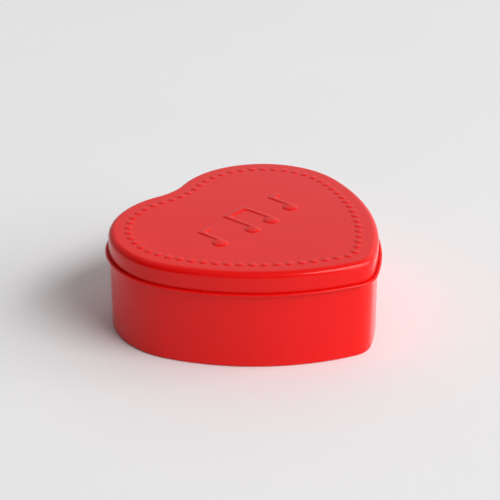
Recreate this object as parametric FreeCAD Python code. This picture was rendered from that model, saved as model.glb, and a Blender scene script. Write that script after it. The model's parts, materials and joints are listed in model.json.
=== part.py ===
import FreeCAD, Part

# Heart-shaped drawn tin with a slip lid, holding a key-wound musical movement.
# Frame: +Z up, origin on the surface the tin stands on, midway between lobes and tip.
# The lobes point to +Y, the tip to -Y. Every length is in millimetres.

import math
import os

from FreeCAD import Matrix, Vector

X_AXIS = Vector(1, 0, 0)
Y_AXIS = Vector(0, 1, 0)
Z_AXIS = Vector(0, 0, 1)

# Tin: plan outline of the body wall, made of tangent arcs
heart_width = 118.0
lobe_radius = 38.9
tip_radius = 11.2
tip_to_lobe = 61.2
flank_radius = 100.5
notch_radius = 28.6

# Tin: sheet, heights and edges
sheet = 0.3
body_height = 40.9
body_bottom_radius = 1.0
neck_step = 0.3
shoulder_gap = 0.1
rim_curl_radius = 0.7
foot_width = 8.0
panel_rise = 1.0

# Lid
lid_top = 42.9
lid_clearance = 0.1
lid_edge_radius = 3.0
lid_curl_radius = 0.75
lid_curl_height = 33.6
lid_curl_bite = 0.1
bead_inset = 8.5
bead_pitch = 4.9
bead_radius = 1.45
bead_height = 0.5
motif_height = 0.45
motif_edge = 0.25
motif_centre_y = 8.0
note_head = 3.3
note_stroke = 2.2
note_stem = 18.0
note_gap = 12.0
note_beam = 3.0
note_flag = 6.5
single_note_x = 23.0
single_note_stem = 14.0

# Bedplate of the movement, seated on the tin's raised panel
plate_left = -32.0
plate_front = -5.0
plate_back = 41.0
plate_thick = 2.4
plate_corner = 4.0

# Running and assembly clearances
shaft_clearance = 0.05
screw_clearance = 0.05
end_float = 0.3
side_gap = 0.6
press_gap = 0.02
seat_gap = 0.2
cut_over = 1.0

# Spring barrel, winding arbor and key
barrel_x = -18.0
barrel_y = 19.0
barrel_radius = 10.0
barrel_wall = 0.7
barrel_height = 7.4
arbor_radius = 2.0
crown_teeth = 32
crown_plate = 0.9
crown_inner = 7.6
crown_outer = 9.6
key_hub_radius = 3.2
key_hub_height = 7.5
key_wing_reach = 6.4
key_wing_thick = 1.8
key_hub_overlap = 2.0
key_socket = 4.0
key_lid_gap = 1.0
key_deck_gap = 1.1

# Mainspring strip and one-way click spring
strip_thick = 0.3
strip_pitch = 0.95
strip_turns = 6
click_wire = 0.4
click_pitch = 1.3
click_turns = 3

# Pinned cylinder, its pinion and its wheel
pinion_teeth = 16
drum_radius = 6.5
drum_wall = 0.8
drum_length = 21.0
pin_radius = 0.28
end_cap_thick = 1.2
shaft_stub = 0.4
pin_height = 0.7
cylinder_shaft_radius = 1.2
wheel_teeth = 40
wheel_module = 0.4
wheel_thick = 1.4

# Comb
comb_teeth = 18
comb_end_margin = 0.6
comb_slit = 0.25
tooth_thick = 0.9
comb_tooth_long = 10.5
comb_tooth_short = 6.5
comb_bar_depth = 5.5
comb_bar_thick = 2.2
comb_tip_gap = 0.25
comb_thread = 5.0

# Governor: second arbor, worm wheel, worm and fly
second_teeth = 10
second_drop = 3.2
arbor2_radius = 0.6
worm_wheel_teeth = 20
worm_module = 0.45
worm_wheel_thick = 1.0
worm_pitch_radius = 1.5
worm_turns = 6
worm_shaft_radius = 0.8
fly_reach = 6.2
fly_height = 3.8
fly_thick = 0.4
fly_hub_radius = 2.0
fly_slot_depth = 0.7
fly_corner = 1.2
spindle_rise = 0.6
worm_runout = 0.6
top_plate_thick = 1.6
foot_pivot_thick = 0.6

# Frame plates of the movement
cheek_thick = 1.6
bridge_width = 8.0
bridge_thick = 1.6
bearing_half = 4.6
foot_length = 4.6
bush_wall = 1.0
arbor_bush_wall = 1.2
plate_skin = 0.4
plate_margin = 1.0

# Stop plunger that the lid presses
plunger_radius = 1.5
plunger_travel = 2.4
plunger_lid_gap = 0.25
arm_thick = 1.2
pad_thick = 0.8
pad_gap = 0.25
guide_wall = 1.5
pad_radius = 1.5
arm_half = 1.6
plunger_tip_round = 0.6
plunger_tail = 4.0
stop_spring_room = 4.0
stop_spring_gap = 0.25
stop_wire = 0.3
stop_turns = 3

# Inner tray and its clear cover
tray_clearance = 0.5
tray_wall = 1.2
deck_top = 32.0
deck_thick = 1.5
cover_thick = 1.4
cover_margin = 3.0
cover_clearance = 0.2
cover_hole_gap = 0.6
window_margin = 0.5
well_inset = 10.0
well_back = -13.0
felt_thick = 0.8

# Screws: shank radius, head radius, head height
case_screw = (1.3, 2.6, 0.85)
frame_screw = (0.9, 1.7, 1.2)
comb_screw = (1.0, 1.9, 1.3)
cover_screw = (0.7, 1.3, 0.7)
slot_share = 0.28

# Heights and places that follow from the sizes above
lid_inside = lid_clearance
lid_outside = lid_clearance + sheet
lid_ceiling = lid_top - sheet
curl_offset = lid_outside + lid_curl_radius - lid_curl_bite
panel_top = panel_rise + sheet
plate_top = panel_top + plate_thick
barrel_bottom = plate_top + end_float
crown_bottom = barrel_bottom + barrel_height
crown_pitch_radius = (crown_inner + crown_outer) / 2
crown_module = 2 * crown_pitch_radius / crown_teeth
crown_addendum = 0.8 * crown_module
crown_dedendum = 1.1 * crown_module
crown_face = crown_bottom + crown_plate
pinion_pitch_radius = crown_module * pinion_teeth / 2
axis_z = crown_face + crown_dedendum + pinion_pitch_radius
axis_y = barrel_y
bracket_x = barrel_x + barrel_radius + side_gap
drum_x = bracket_x + cheek_thick + side_gap
wheel_x = drum_x + drum_length + side_gap
cheek_x = wheel_x + wheel_thick + side_gap
wheel_pitch_radius = wheel_module * wheel_teeth / 2
second_pitch_radius = wheel_module * second_teeth / 2
second_distance = wheel_pitch_radius + second_pitch_radius
second_z = axis_z - second_drop
second_y = axis_y + math.sqrt(second_distance ** 2 - second_drop ** 2)
worm_root = worm_pitch_radius - 1.15 * worm_module
worm_tip = worm_pitch_radius + 0.85 * worm_module
worm_x = cheek_x + cheek_thick + worm_tip + side_gap
worm_wheel_radius = worm_module * worm_wheel_teeth / 2
worm_y = second_y + worm_wheel_radius + worm_pitch_radius
worm_lead = math.pi * worm_module
far_cheek_x = worm_x + worm_tip + side_gap
worm_start = second_z - worm_lead * (worm_turns / 2 + 0.25)
worm_end = worm_start + worm_lead * worm_turns + worm_runout
cheek_top = worm_end + side_gap + top_plate_thick
fly_bottom = cheek_top + side_gap
fly_top = fly_bottom + fly_height
post_radius = plunger_radius + guide_wall
plunger_x = far_cheek_x + cheek_thick + foot_length + post_radius + side_gap
plate_right = plunger_x + post_radius + plate_margin
plunger_y = worm_y
plunger_top = lid_ceiling - plunger_lid_gap
pad_bottom = fly_top + spindle_rise + pad_gap
arm_bottom = pad_bottom + pad_thick
deck_bottom = deck_top - deck_thick
cover_bottom = deck_top - cover_thick
bridge_bottom = crown_face + crown_dedendum + crown_addendum + side_gap
bridge_top = bridge_bottom + bridge_thick
key_wing_radius = (lid_ceiling - key_lid_gap - deck_top - key_deck_gap) / 2
key_wing_z = lid_ceiling - key_lid_gap - key_wing_radius
key_hub_bottom = key_wing_z - key_wing_radius - key_hub_height + key_hub_overlap
comb_pitch = (drum_length - 2 * comb_end_margin) / comb_teeth


# Outline

def heart_arcs(offset):
    """Centre, radius, start and end angle of each arc, counter-clockwise from the tip."""
    lobe_x = heart_width / 2 - lobe_radius
    length = tip_radius + tip_to_lobe + lobe_radius
    tip = Vector(0, tip_radius - length / 2, 0)
    lobe = Vector(lobe_x, tip.y + tip_to_lobe, 0)
    reach_tip = flank_radius - tip_radius
    reach_lobe = flank_radius - lobe_radius
    span = lobe - tip
    along = (reach_tip ** 2 - reach_lobe ** 2 + span.Length ** 2) / (2 * span.Length)
    aside = math.sqrt(reach_tip ** 2 - along ** 2)
    unit = span / span.Length
    flank = tip + unit * along - Vector(unit.y, -unit.x, 0) * aside
    rise = math.sqrt((notch_radius + lobe_radius) ** 2 - lobe_x ** 2)
    notch = Vector(0, lobe.y + rise, 0)
    low = math.atan2(tip.y - flank.y, tip.x - flank.x)
    high = math.atan2(lobe.y - flank.y, lobe.x - flank.x)
    top = math.atan2(notch.y - lobe.y, notch.x - lobe.x)
    half = math.pi
    left_lobe = Vector(-lobe.x, lobe.y, 0)
    left_flank = Vector(-flank.x, flank.y, 0)
    return [
        (tip, tip_radius + offset, -half - low, low),
        (flank, flank_radius + offset, low, high),
        (lobe, lobe_radius + offset, high, top),
        (notch, notch_radius - offset, top + half, 2 * half - top),
        (left_lobe, lobe_radius + offset, half - top, half - high),
        (left_flank, flank_radius + offset, half - high, half - low),
    ]


def on_circle(centre, radius, angle, z):
    return Vector(centre.x + radius * math.cos(angle), centre.y + radius * math.sin(angle), z)


def heart_wire(offset, z):
    edges = []
    for centre, radius, start, end in heart_arcs(offset):
        points = [on_circle(centre, radius, a, z) for a in (start, (start + end) / 2, end)]
        edges.append(Part.Arc(*points).toShape())
    return Part.Wire(edges)


def heart_prism(offset, bottom, top):
    return Part.Face(heart_wire(offset, bottom)).extrude(Vector(0, 0, top - bottom))


def heart_tube(offset, z, radius):
    """Round bead that runs along the outline, one stretch for each arc."""
    stretches = []
    for centre, arc_radius, start, end in heart_arcs(offset):
        here = on_circle(centre, arc_radius, start, z)
        outward = Vector(math.cos(start), math.sin(start), 0)
        tangent = Vector(-outward.y, outward.x, 0)
        disc = Part.Face(Part.Wire(Part.makeCircle(radius, here, tangent)))
        axis = Vector(centre.x, centre.y, z)
        stretches.append(disc.revolve(axis, Z_AXIS, math.degrees(end - start)))
    return stretches[0].multiFuse(stretches[1:]).removeSplitter()


def heart_places(offset, count, z):
    """Evenly spaced points round the outline; the first two straddle the tip."""
    arcs = heart_arcs(offset)
    lengths = [radius * abs(end - start) for centre, radius, start, end in arcs]
    step = sum(lengths) / count
    places = []
    for i in range(count):
        left = (lengths[0] / 2 + (i + 0.5) * step) % sum(lengths)
        k = 0
        while left > lengths[k]:
            left -= lengths[k]
            k += 1
        centre, radius, start, end = arcs[k]
        places.append(on_circle(centre, radius, start + (end - start) * left / lengths[k], z))
    return places


# Shared shapes

def edges_at(shape, z):
    return [e for e in shape.Edges if abs(e.BoundBox.ZMin - z) < 1e-6 and abs(e.BoundBox.ZMax - z) < 1e-6]


def rod(radius, start, length, direction=Z_AXIS):
    return Part.makeCylinder(radius, length, start, direction)


def block(x0, x1, y0, y1, z0, z1):
    return Part.makeBox(x1 - x0, y1 - y0, z1 - z0, Vector(x0, y0, z0))


def rounded_plate(x0, x1, y0, y1, z0, z1, corner):
    plate = block(x0, x1, y0, y1, z0, z1)
    upright = [e for e in plate.Edges if abs(e.BoundBox.ZLength - (z1 - z0)) < 1e-6]
    return plate.makeFillet(corner, upright)


def onto_x(shape, x, y, z, turn):
    """Stands a shape made about +Z on an axis along +X: its own X goes to Y and its Y to Z."""
    copy = shape.copy()
    copy.rotate(Vector(0, 0, 0), Z_AXIS, turn)
    swap = Matrix(0, 0, 1, x, 1, 0, 0, y, 0, 1, 0, z, 0, 0, 0, 1)
    copy.Placement = FreeCAD.Placement(swap).multiply(copy.Placement)
    return copy


def gear(teeth, module, thick, bore, tooth_share, addendum=0.9, dedendum=1.15):
    """Spur gear about +Z with straight-sided teeth; the first tooth points to +X."""
    pitch_radius = module * teeth / 2
    root = pitch_radius - dedendum * module
    tip = pitch_radius + addendum * module
    step = 2 * math.pi / teeth
    at_root = (tooth_share + 0.16) * step / 2
    at_tip = (tooth_share - 0.18) * step / 2
    points = []
    for i in range(teeth):
        middle = i * step
        for radius, swing in ((root, -at_root), (tip, -at_tip), (tip, at_tip), (root, at_root)):
            points.append(on_circle(Vector(), radius, middle + swing, 0))
    points.append(points[0])
    body = Part.Face(Part.makePolygon(points)).extrude(Vector(0, 0, thick))
    return body.cut(rod(bore, Vector(0, 0, -1), thick + 2))


def coil(coil_radius, wire_radius, pitch, turns, place):
    """Round-wire helix standing on +Z, with its lowest wire centre at place."""
    path = Part.makeHelix(pitch, pitch * turns, coil_radius)
    section = Part.Wire(Part.makeCircle(wire_radius, Vector(coil_radius, 0, 0), Y_AXIS))
    solid = Part.Wire(path.Edges).makePipeShell([section], True, True)
    solid.translate(place)
    return solid


def screw(size, seat, length, down=True):
    """Slotted screw whose head sits on seat; the shank runs down, or up for one from below."""
    shank, head, height = size
    way = 1 if down else -1
    top = seat.z + way * height
    head_solid = rod(head, Vector(seat.x, seat.y, min(seat.z, top)), height)
    head_solid = head_solid.makeFillet(0.3 * height, edges_at(head_solid, top))
    half = slot_share * head / 2
    depth = 0.45 * height
    low, high = sorted((top, top - way * depth))
    slot = block(seat.x - 2 * head, seat.x + 2 * head, seat.y - half, seat.y + half, low, high)
    body = rod(shank, Vector(seat.x, seat.y, min(seat.z, seat.z - way * length)), length)
    return head_solid.cut(slot).fuse(body).removeSplitter()


def bored(shape, places, radius, bottom, top):
    for x, y in places:
        shape = shape.cut(rod(radius, Vector(x, y, bottom), top - bottom))
    return shape


# Tin and lid

def necked(offset, bottom, top, radius):
    """Heart with a rounded bottom edge and a shoulder that slopes in by the neck's step."""
    solid = heart_prism(offset, bottom, top)
    solid = solid.makeFillet(radius, edges_at(solid, bottom))
    return solid.makeChamfer(neck_step, edges_at(solid, top))


def tin_body():
    shoulder = lid_curl_height - lid_curl_radius - shoulder_gap
    under = shoulder - (math.sqrt(2) - 1) * sheet
    outer = necked(neck_step, 0, shoulder, body_bottom_radius)
    outer = outer.fuse(heart_prism(0, body_bottom_radius + sheet, body_height))
    inner = necked(neck_step - sheet, sheet, under, body_bottom_radius - sheet)
    inner = inner.fuse(heart_prism(-sheet, body_bottom_radius + sheet, body_height + cut_over))
    shell = outer.removeSplitter().cut(inner.removeSplitter())
    shell = shell.fuse(heart_prism(-foot_width + sheet, sheet / 2, panel_top))
    shell = shell.cut(heart_prism(-foot_width, -1, panel_rise))
    rim_z = body_height - rim_curl_radius
    shell = shell.cut(heart_prism(1, rim_z, body_height + cut_over))
    shell = shell.fuse(heart_tube(-rim_curl_radius, rim_z, rim_curl_radius))
    return bored(shell, case_screw_places(), case_screw[0] + screw_clearance, 0, panel_top + cut_over)


def case_screw_places():
    return [(x, y) for x in (plate_left + plate_corner, plate_right - plate_corner)
            for y in (plate_front + plate_corner, plate_back - plate_corner)]


def movement_screws():
    length = panel_top - panel_rise + plate_thick - plate_skin
    return [screw(case_screw, Vector(x, y, panel_rise), length, down=False) for x, y in case_screw_places()]


def lid():
    outer = heart_prism(lid_outside, lid_curl_height, lid_top)
    outer = outer.makeFillet(lid_edge_radius, edges_at(outer, lid_top))
    inner = heart_prism(lid_inside, lid_curl_height - cut_over, lid_ceiling)
    inner = inner.makeFillet(lid_edge_radius - sheet, edges_at(inner, lid_ceiling))
    shell = outer.fuse(heart_tube(curl_offset, lid_curl_height, lid_curl_radius)).cut(inner)
    return shell.fuse(lid_beads() + [lid_motif()]).removeSplitter()


def lid_beads():
    """Row of round raised beads that follows the edge of the lid."""
    count = 2 * round(heart_wire(-bead_inset, lid_top).Length / bead_pitch / 2)
    ball = (bead_radius ** 2 + bead_height ** 2) / (2 * bead_height)
    beads = []
    for point in heart_places(-bead_inset, count, lid_top):
        sphere = Part.makeSphere(ball, point + Vector(0, 0, bead_height - ball))
        size = 2 * bead_radius
        keep = block(point.x - size, point.x + size, point.y - size, point.y + size,
                     lid_top - sheet / 2, lid_top + size)
        beads.append(sphere.common(keep))
    return beads


def raised(x0, x1, y0, y1):
    return block(x0, x1, y0, y1, lid_top - sheet / 2, lid_top + motif_height)


def note_shape(x, y, stem):
    """Head and stem of one raised note, as overlapping solids."""
    head = rod(note_head, Vector(x, y, lid_top - sheet / 2), sheet / 2 + motif_height)
    bar = raised(x + note_head - note_stroke, x + note_head, y, y + stem)
    return head.fuse(bar)


def lid_motif():
    """Plain raised notes: a beamed pair between two single quavers."""
    low = motif_centre_y - note_stem / 2
    high = low + note_stem
    left = -note_gap / 2 - note_head + note_stroke / 2
    pair = note_shape(left, low, note_stem).fuse(note_shape(left + note_gap, low, note_stem))
    beam_left = left + note_head - note_stroke
    beam = raised(beam_left, beam_left + note_gap + note_stroke, high - note_beam, high)
    pieces = [pair.fuse(beam).removeSplitter()]
    for side in (-1, 1):
        x = side * single_note_x - note_head
        y = motif_centre_y - single_note_stem / 2
        top_y = y + single_note_stem
        flag_left = x + note_head - note_stroke
        flag = raised(flag_left, flag_left + note_flag, top_y - note_beam, top_y)
        pieces.append(note_shape(x, y, single_note_stem).fuse(flag).removeSplitter())
    top = lid_top + motif_height
    soft = [p.makeFillet(motif_edge, edges_at(p, top)) for p in pieces]
    return soft[0].multiFuse(soft[1:])


# Inner tray and clear cover

def cover_box():
    return (plate_left - window_margin - cover_margin, plate_right + window_margin + cover_margin,
            plate_front - window_margin - cover_margin, plate_back + window_margin + cover_margin)


def cover_screw_places():
    x0, x1, y0, y1 = cover_box()
    inset = cover_margin / 2 + cover_clearance
    return [(x, y) for x in (x0 + inset, x1 - inset) for y in (y0 + inset, y1 - inset)]


def inner_tray():
    outside = -sheet - tray_clearance
    shell = heart_prism(outside, panel_top, deck_top)
    shell = shell.cut(heart_prism(outside - tray_wall, panel_top - cut_over, deck_bottom))
    x0, x1, y0, y1 = cover_box()
    rebate = rounded_plate(x0 - cover_clearance, x1 + cover_clearance, y0 - cover_clearance,
                           y1 + cover_clearance, cover_bottom, deck_top + 1, plate_corner)
    ledge = rounded_plate(x0 - tray_wall, x1 + tray_wall, y0 - tray_wall, y1 + tray_wall,
                          cover_bottom - deck_thick, deck_top, plate_corner)
    window = rounded_plate(x0 + cover_margin, x1 - cover_margin, y0 + cover_margin, y1 - cover_margin,
                           cover_bottom - deck_thick - cut_over, deck_top + 1, plate_corner)
    shell = shell.fuse(ledge).cut(rebate).cut(window)
    well_outer = well_prism(-well_inset + tray_wall, well_back + tray_wall, panel_top, deck_top)
    well_inner = well_prism(-well_inset, well_back, panel_top + tray_wall, deck_top + cut_over)
    shell = shell.fuse(well_outer).cut(well_inner)
    depth = cover_screw_length() + screw_clearance
    return bored(shell, cover_screw_places(), cover_screw[0] + screw_clearance, deck_top - depth, deck_top)


def well_prism(offset, back, bottom, top):
    """The tip end of the outline, up to a straight back wall."""
    size = heart_width
    front = block(-size, size, -size, back, bottom - cut_over, top + cut_over)
    return heart_prism(offset, bottom, top).common(front)


def well_lining():
    bottom = panel_top + tray_wall
    return well_prism(-well_inset - seat_gap, well_back - seat_gap, bottom, bottom + felt_thick)


def cover_screw_length():
    return cover_thick + deck_thick - plate_skin


def clear_cover():
    x0, x1, y0, y1 = cover_box()
    plate = rounded_plate(x0, x1, y0, y1, cover_bottom, deck_top, plate_corner)
    plate = bored(plate, cover_screw_places(), cover_screw[0] + screw_clearance,
                  cover_bottom - cut_over, deck_top + cut_over)
    key_hole = key_hub_radius + cover_hole_gap
    plate = bored(plate, [(barrel_x, barrel_y)], key_hole, cover_bottom - cut_over, deck_top + cut_over)
    return bored(plate, [(plunger_x, plunger_y)], plunger_radius + cover_hole_gap,
                 cover_bottom - cut_over, deck_top + cut_over)


def cover_screws():
    length = cover_screw_length()
    return [screw(cover_screw, Vector(x, y, deck_top), length) for x, y in cover_screw_places()]


# Movement: bedplate, brackets and screws

def comb_back():
    return axis_y - drum_radius - pin_height - comb_tip_gap


def comb_left():
    return drum_x + (drum_length - comb_teeth * comb_pitch) / 2


def comb_bar_front():
    return comb_back() - comb_tooth_long - comb_bar_depth


def comb_screw_places():
    y = comb_bar_front() + comb_bar_depth / 2
    width = comb_teeth * comb_pitch
    return [(comb_left() + width * share, y) for share in (0.2, 0.8)]


def bracket_screw_places():
    x = bracket_x + cheek_thick + foot_length / 2
    return [(x, axis_y + side * bearing_half / 2) for side in (-1, 1)]


def bridge_reach():
    """From the barrel's axis to the outside of a bridge pillar."""
    return barrel_radius + side_gap + foot_length


def bridge_screw_places():
    reach = bridge_reach() + foot_length / 2
    return [(barrel_x, barrel_y + side * reach) for side in (-1, 1)]


def governor_screw_places():
    x = far_cheek_x + cheek_thick + foot_length / 2
    return [(x, second_y - bearing_half / 2), (x, worm_y + bearing_half / 2)]


def post_screw_place():
    return plunger_x, plunger_y - post_radius - frame_screw[1] - side_gap


def frame_screw_places():
    return bracket_screw_places() + bridge_screw_places() + governor_screw_places() + [post_screw_place()]


def bedplate():
    plate = rounded_plate(plate_left, plate_right, plate_front, plate_back, panel_top, plate_top,
                          plate_corner)
    width = comb_teeth * comb_pitch
    pedestal = block(comb_left() - comb_end_margin, comb_left() + width + comb_end_margin, comb_bar_front(),
                     comb_bar_front() + comb_bar_depth, panel_top, axis_z - comb_bar_thick)
    plate = plate.fuse(pedestal).removeSplitter()
    plate = bored(plate, case_screw_places(), case_screw[0] + screw_clearance, panel_top - cut_over,
                  plate_top - plate_skin / 2)
    plate = bored(plate, frame_screw_places(), frame_screw[0] + screw_clearance,
                  panel_top + plate_skin, plate_top + cut_over)
    comb_bottom = axis_z - comb_bar_thick
    depth = comb_thread + plate_skin
    plate = bored(plate, comb_screw_places(), comb_screw[0] + screw_clearance, comb_bottom - depth, axis_z)
    plate = bored(plate, [(barrel_x, barrel_y)], arbor_radius + arbor_bush_wall,
                  panel_top - cut_over, plate_top + cut_over)
    return bored(plate, [(worm_x, worm_y)], bush_radius(worm_shaft_radius),
                 panel_top + foot_pivot_thick, plate_top + cut_over)


def foot_screws(places, seat):
    return [screw(frame_screw, Vector(x, y, seat), seat - panel_top - 1.5 * plate_skin) for x, y in places]


def foot(x0, x1, y0, y1):
    return block(x0, x1, y0, y1, plate_top, plate_top + cheek_thick)


def cylinder_bracket():
    half = bearing_half
    upright = block(bracket_x, bracket_x + cheek_thick, axis_y - half, axis_y + half, plate_top, axis_z)
    crown = rod(half, Vector(bracket_x, axis_y, axis_z), cheek_thick, X_AXIS)
    flange = foot(bracket_x, bracket_x + cheek_thick + foot_length, axis_y - half, axis_y + half)
    solid = upright.fuse(crown).fuse(flange).removeSplitter()
    solid = solid.cut(rod(bush_radius(cylinder_shaft_radius), Vector(bracket_x - cut_over, axis_y, axis_z),
                          cheek_thick + 2 * cut_over, X_AXIS))
    return bored(solid, bracket_screw_places(), frame_screw[0] + screw_clearance,
                 plate_top - cut_over, plate_top + cheek_thick + cut_over)


def barrel_bridge():
    outer = bridge_reach()
    inner = outer - foot_length
    half = bridge_width / 2
    solid = block(barrel_x - half, barrel_x + half, barrel_y - outer, barrel_y + outer,
                  bridge_bottom, bridge_top)
    for side in (-1, 1):
        y0, y1 = sorted((barrel_y + side * inner, barrel_y + side * outer))
        solid = solid.fuse(block(barrel_x - half, barrel_x + half, y0, y1, plate_top, bridge_top))
        y0, y1 = sorted((barrel_y + side * outer, barrel_y + side * (outer + foot_length)))
        solid = solid.fuse(foot(barrel_x - half, barrel_x + half, y0, y1))
    solid = solid.removeSplitter()
    solid = bored(solid, [(barrel_x, barrel_y)], arbor_radius + arbor_bush_wall,
                  bridge_bottom - cut_over, bridge_top + cut_over)
    return bored(solid, bridge_screw_places(), frame_screw[0] + screw_clearance,
                 plate_top - cut_over, plate_top + cheek_thick + cut_over)


def governor_frame():
    front = axis_y - bearing_half
    back = worm_y + bearing_half
    far_front = second_y - bearing_half
    near = block(cheek_x, cheek_x + cheek_thick, front, back, plate_top, cheek_top)
    far = block(far_cheek_x, far_cheek_x + cheek_thick, far_front, back, plate_top, cheek_top)
    top = block(cheek_x, far_cheek_x + cheek_thick, worm_y - bearing_half / 1.4, back,
                cheek_top - top_plate_thick, cheek_top)
    flange = foot(far_cheek_x, far_cheek_x + cheek_thick + foot_length, far_front, back)
    solid = near.fuse([far, top, flange]).removeSplitter()
    bush = bush_radius(cylinder_shaft_radius)
    solid = solid.cut(rod(bush, Vector(cheek_x - cut_over, axis_y, axis_z),
                          cheek_thick + 2 * cut_over, X_AXIS))
    span = far_cheek_x + cheek_thick - cheek_x + 2
    solid = solid.cut(rod(bush_radius(arbor2_radius),
                          Vector(cheek_x - cut_over, second_y, second_z), span, X_AXIS))
    solid = bored(solid, [(worm_x, worm_y)], bush_radius(worm_shaft_radius), worm_end, cheek_top + cut_over)
    return bored(solid, governor_screw_places(), frame_screw[0] + screw_clearance,
                 plate_top - cut_over, plate_top + cheek_thick + cut_over)


def bush_radius(shaft):
    return shaft + bush_wall


def bush(shaft, start, length, direction):
    """Bearing bush: presses in its plate line to line, and runs on its shaft."""
    ring = rod(bush_radius(shaft) - press_gap, start, length, direction)
    return ring.cut(rod(shaft + shaft_clearance, start - direction, length + 2, direction))


def arbor_bushes():
    outside = arbor_radius + arbor_bush_wall - press_gap
    bushes = []
    for bottom, length in ((panel_top, plate_thick), (bridge_bottom, bridge_thick)):
        place = Vector(barrel_x, barrel_y, bottom)
        bushes.append(rod(outside, place, length).cut(rod(arbor_radius + shaft_clearance, place, length)))
    return bushes


def cylinder_bushes():
    return [bush(cylinder_shaft_radius, Vector(x, axis_y, axis_z), cheek_thick, X_AXIS)
            for x in (bracket_x, cheek_x)]


def governor_bushes():
    sides = [bush(arbor2_radius, Vector(x, second_y, second_z), cheek_thick, X_AXIS)
             for x in (cheek_x, far_cheek_x)]
    upper = bush(worm_shaft_radius, Vector(worm_x, worm_y, cheek_top - top_plate_thick),
                 top_plate_thick, Z_AXIS)
    place = Vector(worm_x, worm_y, panel_top + foot_pivot_thick)
    lower = rod(bush_radius(worm_shaft_radius) - press_gap, place, plate_top - place.z)
    lower = lower.cut(rod(worm_shaft_radius + shaft_clearance,
                          place + Vector(0, 0, foot_pivot_thick), plate_thick))
    return sides + [upper, lower]


# Movement: spring barrel, arbor, key

def barrel_cup():
    place = Vector(barrel_x, barrel_y, barrel_bottom)
    cup = rod(barrel_radius, place, barrel_height)
    hollow = rod(barrel_radius - barrel_wall, place + Vector(0, 0, barrel_wall), barrel_height)
    return cup.cut(hollow).cut(rod(arbor_radius + shaft_clearance, place - Z_AXIS, barrel_height))


def barrel_crown_gear():
    """Cover of the barrel, with upright teeth round its rim that drive the cylinder's pinion."""
    place = Vector(barrel_x, barrel_y, crown_bottom)
    solid = rod(barrel_radius, place, crown_plate)
    height = crown_dedendum + crown_addendum
    width = 2 * math.pi * crown_inner / crown_teeth
    low, high = 0.5 * width / 2, 0.24 * width / 2
    sunk = crown_plate / 2
    base = crown_face - sunk
    top = crown_face + height
    for i in range(crown_teeth):
        outline = [Vector(crown_inner, -low, base), Vector(crown_inner, low, base),
                   Vector(crown_inner, low, crown_face), Vector(crown_inner, high, top),
                   Vector(crown_inner, -high, top), Vector(crown_inner, -low, crown_face)]
        flank = Part.Face(Part.makePolygon(outline + outline[:1]))
        tooth = flank.extrude(Vector(crown_outer - crown_inner, 0, 0))
        tooth.rotate(Vector(), Z_AXIS, (i + 0.5) * 360 / crown_teeth)
        tooth.translate(Vector(barrel_x, barrel_y, 0))
        solid = solid.fuse(tooth)
    return solid.removeSplitter().cut(rod(arbor_radius + shaft_clearance, place - Z_AXIS, crown_plate + 2))


def mainspring():
    """Flat strip wound as half circles whose centres alternate, so that each half turn steps out."""
    first = arbor_radius + end_float + strip_thick
    rows = {1: [], -1: []}
    ends = []
    for k in range(2 * strip_turns):
        odd = k % 2
        middle = first + k * strip_pitch / 2
        side = odd * math.pi
        centre = Vector((2 * odd - 1) * strip_pitch / 4, 0, 0)
        for way in (1, -1):
            radius = middle + way * strip_thick / 2
            points = [on_circle(centre, radius, side + a, 0) for a in (0, math.pi / 2, math.pi)]
            rows[way].append(Part.Arc(*points).toShape())
            if k in (0, 2 * strip_turns - 1):
                ends.append(points[0] if k == 0 else points[2])
    caps = [Part.LineSegment(ends[0], ends[1]).toShape(), Part.LineSegment(ends[2], ends[3]).toShape()]
    outline = Part.Wire(Part.__sortEdges__(rows[1] + rows[-1] + caps))
    strip = Part.Face(outline).extrude(Vector(0, 0, barrel_height - barrel_wall - 2 * end_float))
    strip.translate(Vector(barrel_x, barrel_y, barrel_bottom + barrel_wall + end_float))
    return strip


def winding_arbor():
    bottom = panel_top + seat_gap
    shaft = rod(arbor_radius, Vector(barrel_x, barrel_y, bottom), key_hub_bottom + key_socket - bottom)
    collar_bottom = plate_top + shaft_clearance
    collar_top = barrel_bottom - shaft_clearance
    collar = rod(arbor_radius + bush_wall, Vector(barrel_x, barrel_y, collar_bottom),
                 collar_top - collar_bottom)
    return shaft.fuse(collar).removeSplitter()


def winding_key():
    """Butterfly key: a round hub on the arbor and two rounded wings with finger holes."""
    hub_top = key_hub_bottom + key_hub_height
    hub = rod(key_hub_radius, Vector(barrel_x, barrel_y, key_hub_bottom), key_hub_height)
    y = barrel_y - key_wing_thick / 2
    wings = block(barrel_x - key_wing_reach, barrel_x + key_wing_reach, y, y + key_wing_thick,
                  hub_top - key_hub_overlap, key_wing_z + 0.4 * key_wing_radius)
    for side in (-1, 1):
        centre = Vector(barrel_x + side * key_wing_reach, y, key_wing_z)
        wings = wings.fuse(rod(key_wing_radius, centre, key_wing_thick, Y_AXIS))
        wings = wings.cut(rod(0.42 * key_wing_radius, centre - Y_AXIS,
                              key_wing_thick + 2 * cut_over, Y_AXIS))
    bore = rod(arbor_radius + press_gap, Vector(barrel_x, barrel_y, key_hub_bottom - cut_over),
               key_socket + cut_over)
    return hub.fuse(wings).removeSplitter().cut(bore)


def click_spring():
    """One-way wrap spring on the arbor; its lowest turn rests on the bridge."""
    place = Vector(barrel_x, barrel_y, bridge_top + click_wire + shaft_clearance)
    return coil(arbor_radius + 2 * shaft_clearance + click_wire, click_wire, click_pitch,
                click_turns, place)


# Movement: cylinder

def cylinder_shaft():
    start = barrel_x + crown_inner - side_gap
    return rod(cylinder_shaft_radius, Vector(start, axis_y, axis_z),
               cheek_x + cheek_thick + shaft_stub - start, X_AXIS)


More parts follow.
